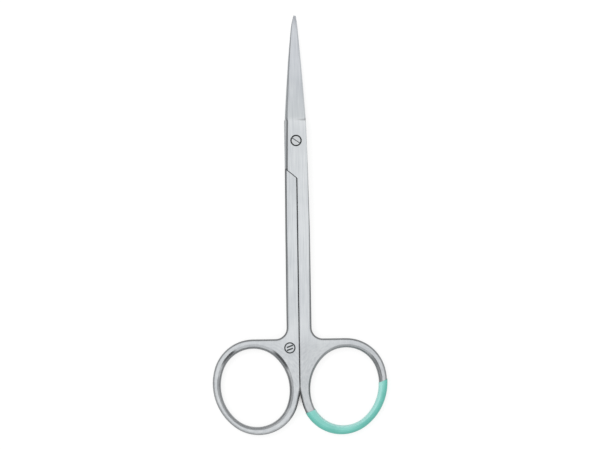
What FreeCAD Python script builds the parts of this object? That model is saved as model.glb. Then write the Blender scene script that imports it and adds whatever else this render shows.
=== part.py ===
"""Straight iris scissors, closed and lying flat, in millimetres.

Two forged halves cross in a lap joint and turn on one slotted shoulder screw.
+Y runs to the tips, +Z is up, and the origin is on the screw's axis at the flat underside of the joint.
A half is drawn on its own axes first: x = 0 is the pair's centre line, with the half's ring on +x
and its spine on -x, and z = 0 is the plane where the two halves meet. The lower half is the same
forging turned over about the length of the scissors. The two differ in their pivot holes and in how
far hand grinding took their edges in.
"""
import FreeCAD, Part
import collections
import math
import os

Vector = FreeCAD.Vector

# Overall sizes
overall_length = 115.2
blade_reach = 34.4
stock_thickness = 3.4
centre_offset = 0.05

# Clearances
lap_gap = 0.03
split_gap = 0.08
shoulder_gap = 0.16
neck_clearance = 0.03
head_side_clearance = 0.20
head_lift = 0.02

# How far cutters run past the faces they open
cutter_overrun = 1.0

# Rounded edges are this many narrow flats to the quarter turn
rounding_steps = 4

# Blade outlines, closed: each side's reach from the centre line at the blunt tip and at the end of
# the grind. The upper spine and the lower edge are on the left, the upper edge and lower spine right
tip_left_reach = 0.25
tip_right_reach = 0.38
upper_spine_root_reach = 2.80
lower_edge_root_reach = 3.05
right_root_reach = 2.70
left_curve_power = 0.63
right_curve_power = 0.82

# Blade sections, from the end of the grind at the joint to the blunt tip
tip_spine_height = 0.62
tip_edge_height = 0.30
root_edge_height = 1.42
edge_bevel_width = 0.30
spine_chamfer = 0.50
tip_chamfer = 0.15
hollow_depth = 0.10
hollow_land = 0.25
hollow_front_share = 0.10
hollow_back_share = 0.97
blade_stations = 7
station_crowding = 1.5

# Lap joint
joint_front = 5.4
grind_runout = 0.6
upper_front_edge_reach = 2.70
upper_heel_edge_reach = 3.03
lower_plate_edge_reach = 3.25
front_spine_reach = 2.65
heel_spine_reach = 2.90
ledge_width = 0.55
ledge_fall = 0.24
ledge_front_share = 0.1
shoulder_front = 8.0
shoulder_foot = 10.35
shoulder_corner_radius = 0.55

# Shank
shank_start = 6.0
taper_start = 25.0
shank_reach = 3.37
neck_reach = 3.42
start_edge_radius = 0.15
taper_edge_radius = 0.45
lap_edge_chamfer = 0.52
split_edge_ease = 0.15
neck_length = 3.0

# Finger ring
ring_thickness = 3.1
ring_side_gap = 0.35
ring_side_band = 2.32
ring_end_band = 2.40
ring_tilt = 19.0
ring_edge_radius = 0.85
ring_edge_tip_shift = 0.30
hole_width = 18.8
hole_length = 21.7
hole_tilt = 12.5
hole_outward_shift = 0.23
hole_downward_shift = 0.19
web_fillet = 3.1
flank_share = 0.80

# Eased rims of the finger holes: mean width, and how far they are pushed tipwards and outwards
bevel_depth = 1.15
bevel_steps = 3
bevel_face_angle = 60.0
bevel_tip_shift = 0.30
upper_bevel_width = 0.72
upper_bevel_out_shift = 0.22
lower_bevel_width = 1.05
lower_bevel_out_shift = -0.12

# Shoulder screw
head_diameter = 2.66
head_seat_depth = 0.75
head_drop = 0.05
head_edge_radius = 0.25
neck_diameter = 2.0
thread_diameter = 1.6
slot_width = 0.20
slot_depth = 0.45
slot_angle = -34.0

# Dip coat on the right ring, up to the slanted line that the dip reached
coat_thickness = 0.12
dip_line_drop = 2.8
dip_line_tilt = 22.0


def oval_end_radius(half_width, half_length):
    """Radius of the two end arcs of an oval drawn with four arcs."""
    return (half_width ** 2 / half_length + half_width) / 2


# Sizes that follow from the ones above
mid_height = stock_thickness / 2
lap_face = lap_gap / 2
split_side = split_gap / 2
blade_root = joint_front + grind_runout
ring_half_width = hole_width / 2 + ring_side_band
ring_half_length = hole_length / 2 + ring_end_band
ring_end_radius = oval_end_radius(ring_half_width, ring_half_length)
ring_end_height = (ring_half_length - ring_end_radius) * math.cos(math.radians(ring_tilt))
ring_half_height = ring_end_height + ring_end_radius
ring_centre = Vector(ring_side_gap + ring_half_width, blade_reach - overall_length + ring_half_height, 0)
hole_centre = ring_centre + Vector(hole_outward_shift, -hole_downward_shift, 0)
ring_top = ring_centre.y + ring_half_height
neck_end = ring_top + web_fillet + neck_length
to_assembly = Vector(centre_offset, 0, mid_height)

# The two ovals of a finger ring, tilted so that their tips lean outwards
Oval = collections.namedtuple("Oval", "centre half_width half_length tilt")
ring_oval = Oval(ring_centre, ring_half_width, ring_half_length, math.radians(ring_tilt))
hole_oval = Oval(hole_centre, hole_width / 2, hole_length / 2, math.radians(hole_tilt))

# What differs between the two halves. A blade line is its reach at the tip and at the root, and the
# power that it grows by; plate_edge is the lap plate's edge at the joint's front and at its heel
Forging = collections.namedtuple("Forging", "edge_line spine_line plate_edge bevel_width bevel_out_shift")
right_line = (tip_right_reach, right_root_reach, right_curve_power)
upper_forging = Forging(right_line, (tip_left_reach, upper_spine_root_reach, left_curve_power),
                        (upper_front_edge_reach, upper_heel_edge_reach),
                        upper_bevel_width, upper_bevel_out_shift)
lower_forging = Forging((tip_left_reach, lower_edge_root_reach, left_curve_power), right_line,
                        (lower_plate_edge_reach, lower_plate_edge_reach),
                        lower_bevel_width, lower_bevel_out_shift)


def mix(start, end, share):
    """The value a given share of the way from start to end."""
    return start + (end - start) * share


def arc_edge(centre, radius, start, end):
    """An arc in a level plane, from one angle to another, in radians."""
    angles = (start, (start + end) / 2, end)
    points = [centre + Vector(radius * math.cos(angle), radius * math.sin(angle), 0) for angle in angles]
    return Part.Arc(*points).toShape()


def prism(wire, bottom, top):
    """A level outline raised from one height to another."""
    face = Part.Face(wire)
    face.translate(Vector(0, 0, bottom))
    return face.extrude(Vector(0, 0, top - bottom))


def outline(points):
    """A closed straight-sided outline through level points."""
    corners = [Vector(x, y, 0) for x, y in points]
    return Part.makePolygon(corners + corners[:1])


def upright(y, points):
    """A closed straight-sided section across the length, through points given as x and z."""
    corners = [Vector(x, y, z) for x, z in points]
    return Part.makePolygon(corners + corners[:1])


def blade_widths(forging, along):
    """Reach of the cutting edge and of the spine; along is 0 at the tip and 1 at the root."""
    lines = (forging.edge_line, forging.spine_line)
    return [mix(tip, root, along ** power) for tip, root, power in lines]


def blade_place(along):
    """Distance from the pivot of a place on the blade."""
    return mix(blade_reach, blade_root, along)


def blade_section(forging, along):
    """Flat inner face, edge bevel, sloping ground face, spine chamfer and spine."""
    edge, spine = blade_widths(forging, along)
    edge_height = mix(tip_edge_height, root_edge_height, along)
    spine_height = mix(tip_spine_height, mid_height, along)
    chamfer = mix(tip_chamfer, spine_chamfer, along)
    points = [(edge, lap_face), (edge - edge_bevel_width, edge_height), (chamfer - spine, spine_height),
              (-spine, spine_height - chamfer), (-spine, lap_face)]
    return upright(blade_place(along), points)


def plate_section(y, edge, spine):
    """Section of the flat lap plate, with the same five corners as the blade's."""
    points = [(edge, lap_face), (edge, mid_height), (spine_chamfer - spine, mid_height),
              (-spine, mid_height - spine_chamfer), (-spine, lap_face)]
    return upright(y, points)


def hollow_section(forging, along):
    """The shallow curve ground into the blade's inner face, inside a flat land on each side."""
    edge, spine = blade_widths(forging, along)
    y = blade_place(along)
    left = hollow_land - spine
    right = edge - hollow_land
    depth = hollow_depth * (edge + spine) / sum(blade_widths(forging, 1.0))
    start = Vector(left, y, lap_face)
    end = Vector(right, y, lap_face)
    crown = Vector((left + right) / 2, y, lap_face + depth)
    below = Vector(0, 0, -1)
    edges = [Part.Arc(start, crown, end).toShape(), Part.makeLine(end, end + below),
             Part.makeLine(end + below, start + below), Part.makeLine(start + below, start)]
    return Part.Wire(edges)


def make_blade(forging):
    """The ground blade, with the slanted step where the grinding wheel ran out at the joint."""
    shares = [(step / (blade_stations - 1)) ** station_crowding for step in range(blade_stations)]
    blade = Part.makeLoft([blade_section(forging, share) for share in shares], True)
    hollow_shares = [mix(hollow_front_share, hollow_back_share, share) for share in shares]
    blade = blade.cut(Part.makeLoft([hollow_section(forging, share) for share in hollow_shares], True))
    front = plate_section(joint_front, forging.plate_edge[0], front_spine_reach)
    step = Part.makeLoft([front, blade_section(forging, 1.0)], True, True)
    return blade.fuse(step)


def shoulder_slope():
    """Rise of the diagonal shoulder for each millimetre away from the centre line."""
    return (shoulder_foot - shoulder_front) / (heel_spine_reach - split_side)


def shoulder_block(gap):
    """All that lies behind the diagonal shoulder, with its corner rounded at the split line.

    gap makes the block larger all round, for the room that the neighbouring half leaves.
    """
    slope = shoulder_slope()
    lean = math.atan(slope)
    half_turn = (math.pi / 2 - lean) / 2
    radius = shoulder_corner_radius + gap
    corner = Vector(split_side - gap, gap / math.cos(lean) - gap * slope - shoulder_foot, 0)
    tangent = radius * math.tan(half_turn)
    turn_in = corner + Vector(0, -tangent, 0)
    turn_out = corner + Vector(tangent * math.cos(lean), tangent * math.sin(lean), 0)
    middle_angle = math.pi - half_turn
    middle = turn_in + Vector(radius + radius * math.cos(middle_angle), radius * math.sin(middle_angle), 0)
    end = corner + Vector(overall_length, overall_length * slope, 0)
    near_back = Vector(corner.x, -overall_length, 0)
    far_back = Vector(end.x, -overall_length, 0)
    edges = [Part.makeLine(near_back, turn_in), Part.Arc(turn_in, middle, turn_out).toShape(),
             Part.makeLine(turn_out, end), Part.makeLine(end, far_back), Part.makeLine(far_back, near_back)]
    return prism(Part.Wire(edges), -stock_thickness, stock_thickness)


def make_joint_plate(forging):
    """The half-thick lap plate that the screw goes through, down to the diagonal shoulder."""
    front_edge, heel_edge = forging.plate_edge
    front = plate_section(joint_front, front_edge, front_spine_reach)
    heel = plate_section(-shank_start, heel_edge, heel_spine_reach)
    plate = Part.makeLoft([front, heel], True, True)
    inside_shank = shank_reach / 2
    tail_sections = [plate_section(y, inside_shank, heel_spine_reach) for y in (-shank_start, -shoulder_foot)]
    tail = Part.makeLoft(tail_sections, True, True)
    neighbour = shoulder_block(shoulder_gap).mirror(Vector(0, 0, 0), Vector(1, 0, 0))
    return plate.fuse(tail.cut(neighbour))


def ledge_section(y, edge, share):
    """Wedge under the sloping rim of the lap face; share makes it smaller."""
    width = ledge_width * share
    rise = ledge_fall * share * (width + cutter_overrun) / width
    return upright(y, [(edge - width, lap_face), (edge + cutter_overrun, lap_face),
                       (edge + cutter_overrun, lap_face + rise)])


def make_ledge_cut(forging):
    """Cutter for the slope of the lap face's rim, from the end of the grind to the shoulder."""
    front_edge, heel_edge = forging.plate_edge
    root_edge = blade_widths(forging, 1.0)[0]
    sections = [ledge_section(blade_root, root_edge, ledge_front_share),
                ledge_section(joint_front, front_edge, 1),
                ledge_section(-shank_start, heel_edge, 1),
                ledge_section(-shoulder_foot, heel_edge, 1)]
    return Part.makeLoft(sections, True, True).cut(shoulder_block(0))


def corner_steps(radius):
    """Inset and rise of each point round a quarter-round corner, from the side up to the face."""
    angles = [math.pi / 2 * step / rounding_steps for step in range(rounding_steps + 1)]
    return [(radius * (1 - math.cos(angle)), radius * math.sin(angle)) for angle in angles]


def chamfer_steps(size):
    """Inset and rise of each point along a straight chamfer, as many as round a corner."""
    shares = [step / rounding_steps for step in range(rounding_steps + 1)]
    return [(size * share, size * share) for share in shares]


def shank_section(y, reach, thickness, lap_corner, outer_corner):
    """Section with its corners beside the split line eased and its far corners as given, in steps."""
    side = thickness / 2
    eased = split_side + split_edge_ease
    high = [(reach - inset, side - outer_corner[-1][1] + rise) for inset, rise in outer_corner]
    low = [(reach - inset, lap_corner[-1][1] - rise - side) for inset, rise in reversed(lap_corner)]
    beside_split = [(eased, side), (split_side, side - split_edge_ease),
                    (split_side, split_edge_ease - side), (eased, -side)]
    return upright(y, low + high + beside_split)


def make_shank(forging):
    """Full-thickness shank, chamfered on its lap side, rounder and thinner towards the ring."""
    heel_edge = forging.plate_edge[1]
    chamfer = chamfer_steps(lap_edge_chamfer)
    start_corner = corner_steps(start_edge_radius)
    taper_corner = corner_steps(taper_edge_radius)
    ring_corner = corner_steps(ring_edge_radius)
    start = shank_section(-shank_start, heel_edge, stock_thickness, chamfer, start_corner)
    taper = shank_section(-taper_start, shank_reach, stock_thickness, chamfer, taper_corner)
    end = shank_section(neck_end, neck_reach, ring_thickness, ring_corner, ring_corner)
    shank = Part.makeLoft([start, taper], True, True)
    shank = shank.fuse(Part.makeLoft([taper, end], True, True))
    beside = 2 * shank_reach
    over_joint = outline([(beside, -taper_start), (beside, joint_front), (-beside, joint_front),
                          (-beside, -taper_start)])
    lap_room = prism(over_joint, -stock_thickness, lap_face).cut(shoulder_block(0))
    return shank.cut(lap_room)


def oval_side_radius(oval):
    """Radius of an oval's two side arcs."""
    return oval.half_length ** 2 / oval.half_width


def oval_centres(oval):
    """Centres of the four arcs of an oval: outward side, tip end, inward side, far end."""
    across = Vector(math.cos(oval.tilt), -math.sin(oval.tilt), 0)
    along = Vector(math.sin(oval.tilt), math.cos(oval.tilt), 0)
    side_step = oval_side_radius(oval) - oval.half_width
    end_step = oval.half_length - oval_end_radius(oval.half_width, oval.half_length)
    return [oval.centre - across * side_step, oval.centre + along * end_step,
            oval.centre + across * side_step, oval.centre - along * end_step]


def oval_turn(oval):
    """Angle from the oval's short axis to the place where a side arc meets an end arc."""
    rise = oval.half_width * (2 * oval.half_length + oval.half_width)
    run = 2 * oval.half_length * (oval.half_length + oval.half_width)
    return math.atan2(rise, run)


def oval_wire(oval, extra, z=0):
    """The oval's outline made larger all round by extra, at a height."""
    outward, tipward, inward, farward = [point + Vector(0, 0, z) for point in oval_centres(oval)]
    turn = oval_turn(oval)
    tilt = oval.tilt
    side = oval_side_radius(oval) + extra
    end = oval_end_radius(oval.half_width, oval.half_length) + extra
    edges = [arc_edge(outward, side, -turn - tilt, turn - tilt),
             arc_edge(tipward, end, turn - tilt, math.pi - turn - tilt),
             arc_edge(inward, side, math.pi - turn - tilt, math.pi + turn - tilt),
             arc_edge(farward, end, math.pi + turn - tilt, 2 * math.pi - turn - tilt)]
    return Part.Wire(edges)


def ring_wire(inset, z):
    """Ring and web in one outline, moved in by an inset and tipwards with it.

    The oval's crown runs level into the shank's side. Its inward side leaves in a straight flank that
    leans a little towards the split line.
    """
    lift = Vector(0, ring_edge_tip_shift * inset / ring_edge_radius, z)
    outward, tipward, inward, farward = [point + lift for point in oval_centres(ring_oval)]
    join = oval_turn(ring_oval)
    tilt = ring_oval.tilt
    side = oval_side_radius(ring_oval) - inset
    end = ring_end_radius - inset
    flank = flank_share * (join - tilt)
    flank_point = inward + Vector(-side * math.cos(flank), -side * math.sin(flank), 0)
    flank_end = Vector(flank_point.x - (neck_end - flank_point.y) * math.tan(flank), neck_end, z)
    crown = tipward + Vector(0, end, 0)
    fillet_centre = Vector(neck_reach + web_fillet, ring_top + web_fillet, 0) + lift
    level_end = Vector(fillet_centre.x, crown.y, z)
    shank_side = Vector(neck_reach - inset, fillet_centre.y, z)
    shank_end = Vector(shank_side.x, neck_end, z)
    edges = [Part.makeLine(flank_end, flank_point),
             arc_edge(inward, side, math.pi + flank, math.pi + join - tilt),
             arc_edge(farward, end, math.pi + join - tilt, 2 * math.pi - join - tilt),
             arc_edge(outward, side, -join - tilt, join - tilt),
             arc_edge(tipward, end, join - tilt, math.pi / 2),
             Part.makeLine(crown, level_end),
             arc_edge(fillet_centre, web_fillet + inset, 1.5 * math.pi, math.pi),
             Part.makeLine(shank_side, shank_end),
             Part.makeLine(shank_end, flank_end)]
    return Part.Wire(edges)


def rounded_block(wire_at, face, radius):
    """A flat block with its rim rounded; wire_at gives its outline for an inset and a height."""
    steps = [(inset, face - radius + rise) for inset, rise in corner_steps(radius)]
    lower = [wire_at(inset, -z) for inset, z in reversed(steps)]
    upper = [wire_at(inset, z) for inset, z in steps]
    return Part.makeLoft(lower + upper, True, True)


def finger_hole(forging, grow):
    """Cutter for a finger hole whose rims are eased open; grow shrinks it for a coat's outside."""
    face = ring_thickness / 2 + grow
    hole = prism(oval_wire(hole_oval, -grow), -face - cutter_overrun, face + cutter_overrun)
    last_angle = math.radians(bevel_face_angle)
    shares = []
    for step in range(bevel_steps + 1):
        angle = last_angle * step / bevel_steps
        open_share = (1 - math.cos(angle)) / (1 - math.cos(last_angle))
        shares.append((open_share, math.sin(angle) / math.sin(last_angle)))
    for side in (1, -1):
        sections = []
        for open_share, rise_share in shares:
            centre = hole_centre + Vector(forging.bevel_out_shift, bevel_tip_shift, 0) * open_share
            z = side * (face - bevel_depth * (1 - rise_share))
            extra = forging.bevel_width * open_share - grow
            sections.append(oval_wire(hole_oval._replace(centre=centre), extra, z))
        hole = hole.fuse(Part.makeLoft(sections, True, True))
    return hole


def past_split():
    """All past the split line beside the ring, wider at both faces for the ring's eased edges."""
    face = ring_thickness / 2
    wide = split_side + split_edge_ease + cutter_overrun
    high = face + cutter_overrun
    points = [(wide, high), (split_side, face - split_edge_ease), (split_side, split_edge_ease - face),
              (wide, -high), (-overall_length, -high), (-overall_length, high)]
    section = Part.Face(upright(-overall_length, points))
    return section.extrude(Vector(0, overall_length + neck_end + cutter_overrun, 0))


def make_ring():
    """Ring and web with rounded outer edges, cut straight along the split line."""
    return rounded_block(ring_wire, ring_thickness / 2, ring_edge_radius).cut(past_split())


def make_half(forging):
    """One whole forging on its own axes, without its pivot hole."""
    solid = make_joint_plate(forging).fuse([make_blade(forging), make_shank(forging), make_ring()])
    return solid.cut([finger_hole(forging, 0), make_ledge_cut(forging)]).removeSplitter()


def pivot_cylinder(diameter, bottom, top):
    """A round bar on the pivot's axis."""
    return Part.makeCylinder(diameter / 2, top - bottom, Vector(0, 0, bottom))


def make_upper_half():
    """The half with its ring on the right, and the seat that the screw's head is sunk in."""
    half = make_half(upper_forging)
    half.translate(to_assembly)
    seat_floor = stock_thickness - head_seat_depth
    above = stock_thickness + cutter_overrun
    seat = pivot_cylinder(head_diameter + 2 * head_side_clearance, seat_floor, above)
    bore = pivot_cylinder(neck_diameter + 2 * neck_clearance, -cutter_overrun, above)
    return half.cut(seat.fuse(bore))


def make_lower_half():
    """The half with its ring on the left, which the screw's thread is riveted into."""
    half = make_half(lower_forging)
    half.rotate(Vector(0, 0, 0), Vector(0, 1, 0), 180)
    half.translate(to_assembly)
    return half.cut(pivot_cylinder(thread_diameter, -cutter_overrun, stock_thickness + cutter_overrun))


def make_screw_head(bottom, top):
    """Round head with its upper edge rounded and a slot sawn across it."""
    radius = head_diameter / 2
    rim = [(radius - inset, top - head_edge_radius + rise) for inset, rise in corner_steps(head_edge_radius)]
    head = Part.Face(upright(0, [(0, bottom), (radius, bottom)] + rim + [(0, top)]))
    head = head.revolve(Vector(0, 0, 0), Vector(0, 0, 1), 360)
    slot = Part.makeBox(2 * head_diameter, slot_width, slot_depth,
                        Vector(-head_diameter, -slot_width / 2, top - slot_depth))
    slot.rotate(Vector(0, 0, 0), Vector(0, 0, 1), slot_angle)
    return head.cut(slot)


def make_screw():
    """Slotted shoulder screw: its end is riveted and ground flush with the underside."""
    shoulder = mid_height - lap_face
    head_bottom = stock_thickness - head_seat_depth + head_lift
    head = make_screw_head(head_bottom, stock_thickness - head_drop)
    neck = pivot_cylinder(neck_diameter, shoulder, head_bottom)
    thread = pivot_cylinder(thread_diameter, 0, shoulder)
    return head.fuse([neck, thread]).removeSplitter()


def coat_wire(inset, z):
    """Outline of the dip coat's outside, moved in by an inset and tipwards with it, as the ring's."""
    lift = Vector(0, ring_edge_tip_shift * inset / (ring_edge_radius + coat_thickness), 0)
    return oval_wire(ring_oval._replace(centre=ring_centre + lift), coat_thickness - inset, z)


def dipped_side():
    """All on the far side of the line that the dip reached."""
    reach = 2 * ring_half_height
    corner = Vector(-reach, -reach - dip_line_drop, -stock_thickness)
    block = Part.makeBox(2 * reach, reach, 2 * stock_thickness, corner)
    block.rotate(Vector(0, 0, 0), Vector(0, 0, 1), dip_line_tilt)
    block.translate(ring_centre)
    return block


def make_coating(bare_half):
    """Thin dipped skin round the far side of the right ring."""
    face = ring_thickness / 2 + coat_thickness
    skin = rounded_block(coat_wire, face, ring_edge_radius + coat_thickness)
    skin = skin.cut(finger_hole(upper_forging, coat_thickness)).common(dipped_side())
    skin.translate(to_assembly)
    return skin.cut(bare_half)


def save(node, shape):
    """Write one piece to its own file."""
    shape.exportStep("parts/" + node + ".step")
    print(node, "solids", len(shape.Solids), "valid", shape.isValid(), "volume", round(shape.Volume, 2))


os.makedirs("parts", exist_ok=True)
upper_half = make_upper_half()
save("upper_half", upper_half)
save("lower_half", make_lower_half())
save("pivot_screw", make_screw())
save("ring_coating", make_coating(upper_half))
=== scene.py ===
"""Straight iris scissors, closed, lying on a plain white sheet and seen from straight above."""
import math

import bpy
import numpy as np
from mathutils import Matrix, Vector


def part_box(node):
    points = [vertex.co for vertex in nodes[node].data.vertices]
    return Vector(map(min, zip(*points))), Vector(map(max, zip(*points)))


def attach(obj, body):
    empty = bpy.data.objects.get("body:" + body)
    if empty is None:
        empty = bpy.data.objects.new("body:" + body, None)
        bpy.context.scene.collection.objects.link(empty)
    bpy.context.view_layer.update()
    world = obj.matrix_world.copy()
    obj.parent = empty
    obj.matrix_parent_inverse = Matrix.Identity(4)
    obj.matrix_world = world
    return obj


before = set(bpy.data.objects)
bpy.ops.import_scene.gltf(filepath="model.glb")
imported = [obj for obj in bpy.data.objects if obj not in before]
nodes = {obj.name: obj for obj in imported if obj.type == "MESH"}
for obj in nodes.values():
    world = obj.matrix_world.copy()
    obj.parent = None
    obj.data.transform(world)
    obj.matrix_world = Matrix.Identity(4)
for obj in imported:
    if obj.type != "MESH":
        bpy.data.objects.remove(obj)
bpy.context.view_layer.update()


# The two halves
# Each half is one stainless steel forging, ground flat and brushed to a satin finish along its length.
# They cross in a lap joint; the right ring belongs to the upper half, the left one to the lower half.

mm = 0.001
right_ring = (0.0122, -0.0677)
left_ring = (-0.0121, -0.0677)


def linear(colour):
    """An sRGB hex colour in linear light, with a solid alpha.

    Each part plus 0.055, over 1.055, to the power 2.4; a very dark one is only divided by 12.92.
    """
    parts = [int(colour[i:i + 2], 16) / 255 for i in (1, 3, 5)]
    return [c / 12.92 if c <= 0.04045 else ((c + 0.055) / 1.055) ** 2.4 for c in parts] + [1.0]


def add(tree, kind, inputs=None, **settings):
    """Adds a shader node: settings are its properties, inputs are values or links from (node, output)."""
    made = tree.nodes.new("ShaderNode" + kind)
    for name, value in settings.items():
        setattr(made, name, value)
    for name, value in (inputs or {}).items():
        if isinstance(value, tuple) and isinstance(value[0], bpy.types.Node):
            tree.links.new(value[0].outputs[value[1]], made.inputs[name])
        else:
            made.inputs[name].default_value = value
    return made


def start_material(name):
    """A material with an empty node tree, and the node of its object coordinates."""
    material = bpy.data.materials.new(name)
    material.use_nodes = True
    tree = material.node_tree
    tree.nodes.clear()
    return material, tree, add(tree, "TexCoord")


def ramp(tree, source, stops):
    """A grey ramp through (place, grey value) stops."""
    made = add(tree, "ValToRGB", {"Fac": source})
    elements = made.color_ramp.elements
    while len(elements) < len(stops):
        elements.new(0.5)
    for element, (place, value) in zip(elements, stops):
        element.position = place
        element.color = (value, value, value, 1)
    return made, "Color"


def spread(tree, source, low, high, at_low=0.0, at_high=1.0, kind="LINEAR"):
    """Carries a value from low to high onto 0 to 1, or onto two other values, and holds it beyond."""
    made = add(tree, "MapRange", {"Value": source, "From Min": low, "From Max": high,
                                  "To Min": at_low, "To Max": at_high},
               clamp=True, interpolation_type=kind)
    return made, "Result"


def product(tree, first, *others):
    """Multiplies values together."""
    for other in others:
        first = (add(tree, "Math", {0: first, 1: other}, operation="MULTIPLY"), "Value")
    return first


def blend(tree, share, first, second):
    """The first colour where the share is 0 and the second where it is 1."""
    return add(tree, "MixRGB", {"Fac": share, "Color1": first, "Color2": second}), "Color"


def shaded(tree, colour, *shades):
    """A colour multiplied by each shade in turn."""
    for shade in shades:
        colour = (add(tree, "MixRGB", {"Fac": 1.0, "Color1": colour, "Color2": shade},
                      blend_type="MULTIPLY"), "Color")
    return colour


def level_part(tree, axes):
    """The level part of a place or direction: its x and y alone."""
    return add(tree, "CombineXYZ", {"X": (axes, "X"), "Y": (axes, "Y")}), "Vector"


def dot(tree, first, second):
    """How far two directions agree: the sum of their axes' products, 1 when they are the same."""
    return add(tree, "VectorMath", {0: first, 1: second}, operation="DOT_PRODUCT"), "Value"


def round_ring(tree, place, centre):
    """The place counted from a ring's centre, whole and by axis, and the level way out from there."""
    centred = add(tree, "Mapping", {"Vector": (place, "Object"), "Location": (-centre[0], -centre[1], 0.0)})
    axes = add(tree, "SeparateXYZ", {"Vector": (centred, "Vector")})
    away = add(tree, "VectorMath", {0: level_part(tree, axes)}, operation="NORMALIZE")
    return (centred, "Vector"), axes, (away, "Vector")


def facing(tree, radius):
    """Eases the edges by a radius: the eased normal, its object axes, and how level it is, 0 to 1."""
    eased = (add(tree, "Bevel", {"Radius": radius}, samples=6), "Normal")
    turned = add(tree, "VectorTransform", {"Vector": eased}, vector_type="NORMAL",
                 convert_from="WORLD", convert_to="OBJECT")
    axes = add(tree, "SeparateXYZ", {"Vector": (turned, "Vector")})
    level = (add(tree, "Math", {0: (axes, "Z")}, operation="ABSOLUTE"), "Value")
    return eased, axes, level


def brushed_lines(tree, place, ring, on_ring):
    """The grit's lines: lengthwise on the shank and blade, round and round on the ring.

    Real ones are about 0.05 mm apart. They are drawn 0.35 mm apart so that they show.
    """
    per_metre = (2800.0, 110.0, 900.0)
    stretched = add(tree, "Mapping", {"Vector": (place, "Object"), "Scale": per_metre})
    long_lines = add(tree, "TexNoise", {"Vector": (stretched, "Vector"), "Scale": 1.0, "Detail": 4.0})

    centred, axes, away = round_ring(tree, place, ring)
    turn = add(tree, "Math", {0: (axes, "Y"), 1: (axes, "X")}, operation="ARCTAN2")
    reach = add(tree, "VectorMath", {0: centred}, operation="LENGTH")
    around = add(tree, "CombineXYZ", {"X": (reach, "Value"), "Y": (turn, "Value"), "Z": (axes, "Z")})
    across_per_metre, around_per_radian, down_per_metre = 2200.0, 9.0, 900.0
    bent = add(tree, "Mapping", {"Vector": (around, "Vector"),
                                 "Scale": (across_per_metre, around_per_radian, down_per_metre)})
    ring_lines = add(tree, "TexNoise", {"Vector": (bent, "Vector"), "Scale": 1.0, "Detail": 4.0})
    lines = add(tree, "Mix", {"Factor": on_ring, 2: (long_lines, "Fac"), 3: (ring_lines, "Fac")},
                data_type="FLOAT")
    return (lines, 0), away


def rim_shade_patches(tree, sides, marks, away, normal, level, on_ring):
    """Painted shade: darker patches in the finger hole's rim, where it rounds into the face.

    Each mark is an angle round the ring and a half spread, both in degrees, and a tone.
    """
    faces_to = level_part(tree, normal)
    shallow = ramp(tree, level, [(0.84, 0.0), (0.92, 1.0), (0.97, 1.0), (0.995, 0.0)])
    for angle, half_spread, tone in marks:
        aim = (math.cos(math.radians(angle)), math.sin(math.radians(angle)), 0.0)
        inward = spread(tree, dot(tree, faces_to, aim), -0.10, -0.28)
        along_rim = spread(tree, dot(tree, away, aim), math.cos(math.radians(1.6 * half_spread)),
                           math.cos(math.radians(0.5 * half_spread)), kind="SMOOTHSTEP")
        sides = blend(tree, product(tree, inward, along_rim, shallow, on_ring), sides,
                      (tone, tone, tone, 1.0))
    return sides


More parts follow.
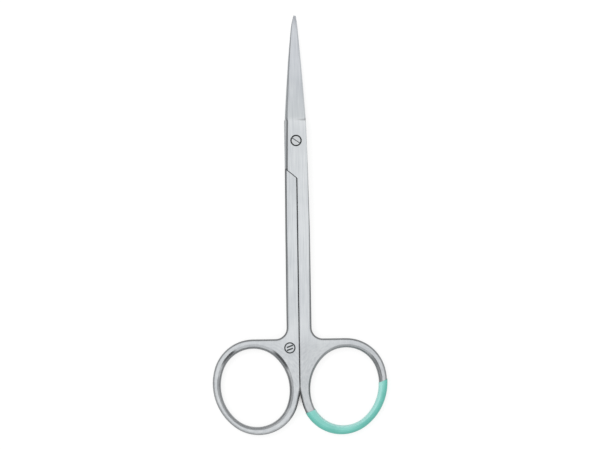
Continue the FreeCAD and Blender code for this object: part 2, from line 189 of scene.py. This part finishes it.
def satin_steel(name, ring, ring_tone, rim_shade_marks, shaded_seat_radius=None):
    """Satin stainless steel, brushed on its flat faces, which are all that the wheel reaches.

    The side faces and rounded rims get painted shade by how steeply they face: deepest beside the
    split between the halves, lighter on the rings clear of it, and lifted on the blade's cutting edge.
    The screw's seat and the deep corners of the joint get painted shade too.
    """
    material, tree, place = start_material(name)
    along = add(tree, "SeparateXYZ", {"Vector": (place, "Object")})
    on_ring = spread(tree, (along, "Y"), -53 * mm, -58 * mm, kind="SMOOTHSTEP")
    on_blade = spread(tree, (along, "Y"), 5.4 * mm, 6.6 * mm)
    towards_tip = spread(tree, (along, "Y"), 6 * mm, 22 * mm)

    lines, away = brushed_lines(tree, place, ring, on_ring)
    patches = add(tree, "TexNoise", {"Vector": (place, "Object"), "Scale": 130.0, "Detail": 2.0})
    mixed = add(tree, "Mix", {"Factor": 0.35, 2: lines, 3: (patches, "Fac")}, data_type="FLOAT")
    blade = blend(tree, towards_tip, linear("#BABEC0"), linear("#C2C5C9"))
    face = blend(tree, on_blade, linear("#C9CCCE"), blade)
    scratched = shaded(tree, face, linear("#E9EAEC"))
    brushed = blend(tree, spread(tree, (mixed, 0), 0.38, 0.62), scratched, face)

    eased, normal, level = facing(tree, 0.22 * mm)
    # Painted shade: the side faces and rims darken the more steeply they face; the second, lighter ramp is
    # for the rings.
    steep_shade = ramp(tree, level, [(0.0, 0.40), (0.25, 0.20), (0.45, 0.17), (0.70, 0.36), (0.89, 0.62),
                                 (0.97, 1.0)])
    ring_steep_shade = ramp(tree, level, [(0.0, 0.56), (0.50, 0.52), (0.75, 0.52), (0.94, 1.0)])
    # The deeper painted shade is kept within about 3 mm of the split between the halves.
    from_split = (add(tree, "Math", {0: (along, "X")}, operation="ABSOLUTE"), "Value")
    clear_of_split = spread(tree, from_split, 2.4 * mm, 3.2 * mm)
    sides = blend(tree, product(tree, on_ring, clear_of_split), steep_shade, ring_steep_shade)
    # Painted shade: darker patches at given angles round the finger hole's rim.
    sides = rim_shade_patches(tree, sides, rim_shade_marks, away, normal, level, on_ring)
    # The painted side shade is lifted on the blade's faces that turn out towards its cutting edge.
    outward = product(tree, (normal, "X"), math.copysign(1, ring[0]))
    edge_shade_lifted = product(tree, spread(tree, outward, 0.2, 0.5, 0.45, 1.0), on_blade)
    sides = blend(tree, edge_shade_lifted, sides, (1.0, 1.0, 1.0, 1.0))

    # Painted shade in the deep corners and crevices, darker where little open space surrounds the surface.
    crevice = add(tree, "AmbientOcclusion", {"Distance": 1.2 * mm}, samples=8)
    crevice_shade = spread(tree, (crevice, "AO"), 0.10, 0.70, 0.40, 1.0)
    shades = [spread(tree, on_ring, 0.0, 1.0, 1.0, ring_tone), sides, crevice_shade]
    # Painted shade inside the screw's seat.
    if shaded_seat_radius:
        level_place = add(tree, "Mapping", {"Vector": (place, "Object"), "Scale": (1.0, 1.0, 0.0)})
        from_screw = add(tree, "VectorMath", {0: (level_place, "Vector")}, operation="LENGTH")
        shades.append(spread(tree, (from_screw, "Value"), shaded_seat_radius, shaded_seat_radius + 0.03 * mm, 0.2, 1.0))

    grain = add(tree, "Bump", {"Strength": 0.10, "Distance": 0.02 * mm, "Height": lines, "Normal": eased})
    shader = add(tree, "BsdfPrincipled", {"Base Color": shaded(tree, brushed, *shades), "Metallic": 1.0,
                                          "Roughness": spread(tree, lines, 0.3, 0.7, 0.30, 0.40),
                                          "Normal": (grain, "Normal")})
    add(tree, "OutputMaterial", {"Surface": (shader, "BSDF")})
    return material


def dress(node, material):
    """Gives a CAD node its material."""
    nodes[node].data.materials.clear()
    nodes[node].data.materials.append(material)


# Each half's steel, with painted darker patches at the listed angles round its finger hole's rim.
dress("upper_half", satin_steel("satin_steel_upper", right_ring, 0.88, [(27, 18, 0.06)],
                                shaded_seat_radius=1.53 * mm))
dress("lower_half", satin_steel("satin_steel_lower", left_ring, 0.95,
                                [(132, 11, 0.02), (46, 14, 0.16), (178, 12, 0.28)]))


# The pivot screw
# A slotted shoulder screw in stainless steel, turned on a lathe, about as bright as the faces round it.

def turned_steel():
    """Stainless steel from the lathe: fine rings round the screw's axis, 0.2 mm apart so that they show.

    The steep faces and the floor of the slot get painted shade.
    """
    material, tree, place = start_material("turned_steel")
    rings = add(tree, "TexWave", {"Vector": (place, "Object"), "Scale": 800.0, "Distortion": 1.0},
                wave_type="RINGS", rings_direction="Z")
    turned = blend(tree, (rings, "Fac"), linear("#B4B7B9"), linear("#C3C6C8"))
    eased, _, level = facing(tree, 0.08 * mm)
    # Painted shade on the steeply facing surfaces.
    turned_with_shade = shaded(tree, turned, ramp(tree, level, [(0.0, 0.08), (0.60, 0.25), (0.92, 1.0)]))
    axes = add(tree, "SeparateXYZ", {"Vector": (place, "Object")})
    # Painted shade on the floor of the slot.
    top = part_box("pivot_screw")[1].z
    above_floor = spread(tree, (axes, "Z"), top - 0.30 * mm, top - 0.12 * mm)
    shader = add(tree, "BsdfPrincipled",
                 {"Base Color": blend(tree, above_floor, linear("#54595C"), turned_with_shade), "Metallic": 1.0,
                  "Roughness": spread(tree, (rings, "Fac"), 0.0, 1.0, 0.28, 0.36), "Normal": eased})
    add(tree, "OutputMaterial", {"Surface": (shader, "BSDF")})
    return material


dress("pivot_screw", turned_steel())


# The dip coat
# The lower arc of the right ring is dipped in mint-green plastic, a skin about 0.1 mm thick.

def mint_dip():
    """Flexible dipped plastic: smooth, satin, a little thinner and greyer on its walls and inner side, with
    painted shade on its outer side.
    """
    material, tree, place = start_material("mint_dip_plastic")
    blotches = add(tree, "TexNoise", {"Vector": (place, "Object"), "Scale": 160.0, "Detail": 2.0})
    thick = blend(tree, spread(tree, (blotches, "Fac"), 0.35, 0.65), linear("#58A398"), linear("#70B6AC"))
    eased, normal, level = facing(tree, 0.20 * mm)
    away = round_ring(tree, place, right_ring)[2]
    outward = dot(tree, away, level_part(tree, normal))
    # Painted shade on the sides that face out from the ring's centre.
    outer_shaded = blend(tree, spread(tree, outward, 0.05, 0.6), thick, linear("#53A296"))
    thin = blend(tree, spread(tree, outward, 0.12, -0.30, 0.0, 0.8), outer_shaded, linear("#94C6C0"))
    colour = blend(tree, ramp(tree, level, [(0.0, 0.7), (0.50, 0.0)]), thin, linear("#94C2BC"))
    ripple = add(tree, "TexNoise", {"Vector": (place, "Object"), "Scale": 420.0, "Detail": 1.0})
    bump = add(tree, "Bump", {"Strength": 0.15, "Distance": 0.05 * mm, "Height": (ripple, "Fac"),
                              "Normal": eased})
    shader = add(tree, "BsdfPrincipled", {"Base Color": colour, "Metallic": 0.0, "Roughness": 0.38,
                                          "IOR": 1.48, "Normal": (bump, "Normal")})
    add(tree, "OutputMaterial", {"Surface": (shader, "BSDF")})
    return material


dress("ring_coating", mint_dip())


# The mark on the web
# A small circle etched dark on the left half, where the shank meets the ring, with two plain bars in it.

def shaped(name, points, faces):
    """An object at the origin with this mesh."""
    mesh = bpy.data.meshes.new(name)
    mesh.from_pydata(points, [], faces)
    made = bpy.data.objects.new(name, mesh)
    bpy.context.scene.collection.objects.link(made)
    return made


def plate(name, outlines, low, high):
    """Flat closed plates: each outline, a loop of x and y, is a top face, a bottom face and a wall."""
    points, faces = [], []
    for outline in outlines:
        count = len(outline)
        first = len(points)
        points += [(x, y, low) for x, y in outline] + [(x, y, high) for x, y in outline]
        faces.append(list(range(first + count - 1, first - 1, -1)))
        faces.append(list(range(first + count, first + 2 * count)))
        for i in range(count):
            j = (i + 1) % count
            faces.append([first + i, first + j, first + count + j, first + count + i])
    return shaped(name, points, faces)


def band(name, centre, inner, outer, low, high, count=64):
    """A closed flat ring: its square section, four corners, carried round a circle."""
    turn = np.linspace(0, 2 * math.pi, count, endpoint=False)[:, None]
    radii = np.array([outer, outer, inner, inner])
    heights = np.array([low, high, high, low])
    x = centre[0] + np.cos(turn) * radii
    y = centre[1] + np.sin(turn) * radii
    z = np.broadcast_to(heights, x.shape)
    points = np.stack([x, y, z], axis=-1).reshape(-1, 3)
    i, k = np.meshgrid(np.arange(count), np.arange(4), indexing="ij")
    i2, k2 = (i + 1) % count, (k + 1) % 4
    faces = np.stack([i * 4 + k, i2 * 4 + k, i2 * 4 + k2, i * 4 + k2], axis=-1).reshape(-1, 4)
    return shaped(name, points.tolist(), faces.tolist())


def etched_oxide():
    """Laser-etched steel: a matt dark oxide, uneven where the beam's passes overlap."""
    material, tree, place = start_material("etched_oxide")
    passes = add(tree, "TexNoise", {"Vector": (place, "Object"), "Scale": 4000.0, "Detail": 1.0})
    colour = blend(tree, (passes, "Fac"), linear("#181B1C"), linear("#34393B"))
    shader = add(tree, "BsdfPrincipled", {"Base Color": colour, "Metallic": 0.0, "Roughness": 0.7})
    add(tree, "OutputMaterial", {"Surface": (shader, "BSDF")})
    return material


mark_centre = np.array([-0.00256, -0.0569])
circle_inner, circle_outer = 0.00120, 0.00156
coat_thickness = 0.00012
etch_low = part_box("ring_coating")[1].z - coat_thickness
etch_high = etch_low + 0.00001
mark_circle = band("mark_circle", mark_centre, circle_inner, circle_outer, etch_low, etch_high)

bar_x, bar_y, bar_shift = 0.0009, 0.0002, 0.00042
bar = np.array([(-bar_x, -bar_y), (bar_x, -bar_y), (bar_x, bar_y), (-bar_x, bar_y)])
lean = math.radians(20)
leaning = bar @ np.array([[math.cos(lean), math.sin(lean)], [-math.sin(lean), math.cos(lean)]])
bars = [leaning + mark_centre + np.array([0.0, shift]) for shift in (-bar_shift, bar_shift)]
mark_bars = plate("mark_bars", [b.tolist() for b in bars], etch_low, etch_high)

oxide = etched_oxide()
for piece in (mark_circle, mark_bars):
    piece.data.materials.append(oxide)
    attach(piece, "lower")


# The sheet that the scissors lie on
# Plain matt white card, large enough to fill every view.

def matt_card():
    """White card: matt, with a paper grain too faint to show from above.

    It glows white where it is seen or reflected, but not in narrow gaps and under the object's
    edges, where the shadow stays.
    """
    material, tree, place = start_material("matt_white_card")
    fibres = add(tree, "TexNoise", {"Vector": (place, "Object"), "Scale": 900.0})
    colour = ramp(tree, (fibres, "Fac"), [(0.0, 0.93), (1.0, 0.95)])
    shader = add(tree, "BsdfPrincipled", {"Base Color": colour, "Roughness": 0.9,
                                          "Specular IOR Level": 0.0})
    glow = add(tree, "Emission", {"Color": (1.0, 1.0, 1.0, 1.0), "Strength": 1.0})
    ray = add(tree, "LightPath")
    seen = (ray, "Is Camera Ray")
    for kind in ("Is Glossy Ray", "Is Transmission Ray"):
        seen = (add(tree, "Math", {0: seen, 1: (ray, kind)}, operation="MAXIMUM"), "Value")
    open_sky = add(tree, "AmbientOcclusion", {"Distance": 4 * mm}, samples=8)
    lit_part = spread(tree, (open_sky, "AO"), 0.05, 0.38, 0.0, 0.8)
    lit = add(tree, "MixShader", {"Fac": product(tree, seen, lit_part), 1: (shader, "BSDF"),
                                  2: (glow, "Emission")})
    add(tree, "OutputMaterial", {"Surface": (lit, "Shader")})
    return material


card_half, card_thickness = 3.0, 0.001
corners = [(-card_half, -card_half), (card_half, -card_half), (card_half, card_half),
           (-card_half, card_half)]
card = plate("card", [corners], -card_thickness, 0.0)
card.data.materials.append(matt_card())


# Light
# An even tent of white cloth, brightest overhead and a third darker at its foot, with one soft lamp.

world = bpy.data.worlds.new("tent")
bpy.context.scene.world = world
world.use_nodes = True
tree = world.node_tree
tree.nodes.clear()
direction = add(tree, "TexCoord")
height = add(tree, "SeparateXYZ", {"Vector": (direction, "Generated")})
cloth = ramp(tree, (height, "Z"), [(0.0, 0.62), (0.30, 0.66), (0.55, 0.78), (0.80, 1.0)])
background = add(tree, "Background", {"Color": cloth, "Strength": 1.25})
add(tree, "OutputWorld", {"Surface": (background, "Background")})

lamp = bpy.data.objects.new("soft_lamp", bpy.data.lights.new("soft_lamp", "AREA"))
lamp.data.shape = "DISK"
lamp.data.size = 1.2
lamp.data.energy = 9.0
lamp.location = (-0.5, 0.55, 1.3)
lamp.rotation_euler = (-lamp.location).to_track_quat("-Z", "Y").to_euler()
lamp.visible_glossy = False
bpy.context.scene.collection.objects.link(lamp)


# Camera
# Straight above, turned 0.87 degrees, with 0.2745 mm to a pixel of the 600 by 450 picture.

camera = bpy.data.objects.new("camera", bpy.data.cameras.new("camera"))
camera.data.sensor_width = 36.0
camera.data.lens = 120.0
pixel = 0.0002745
picture_width = 600 * pixel
camera_distance = picture_width / camera.data.sensor_width * camera.data.lens
centre_x, centre_y, face_height = 0.00073, -0.02321, 0.0032
camera.location = (centre_x, centre_y, face_height + camera_distance)
camera.rotation_euler = (0.0, 0.0, math.radians(-0.87))
camera.data.clip_start = 0.05
camera.data.clip_end = 20.0
bpy.context.scene.collection.objects.link(camera)
bpy.context.scene.camera = camera
bpy.context.scene.view_settings.view_transform = "Standard"
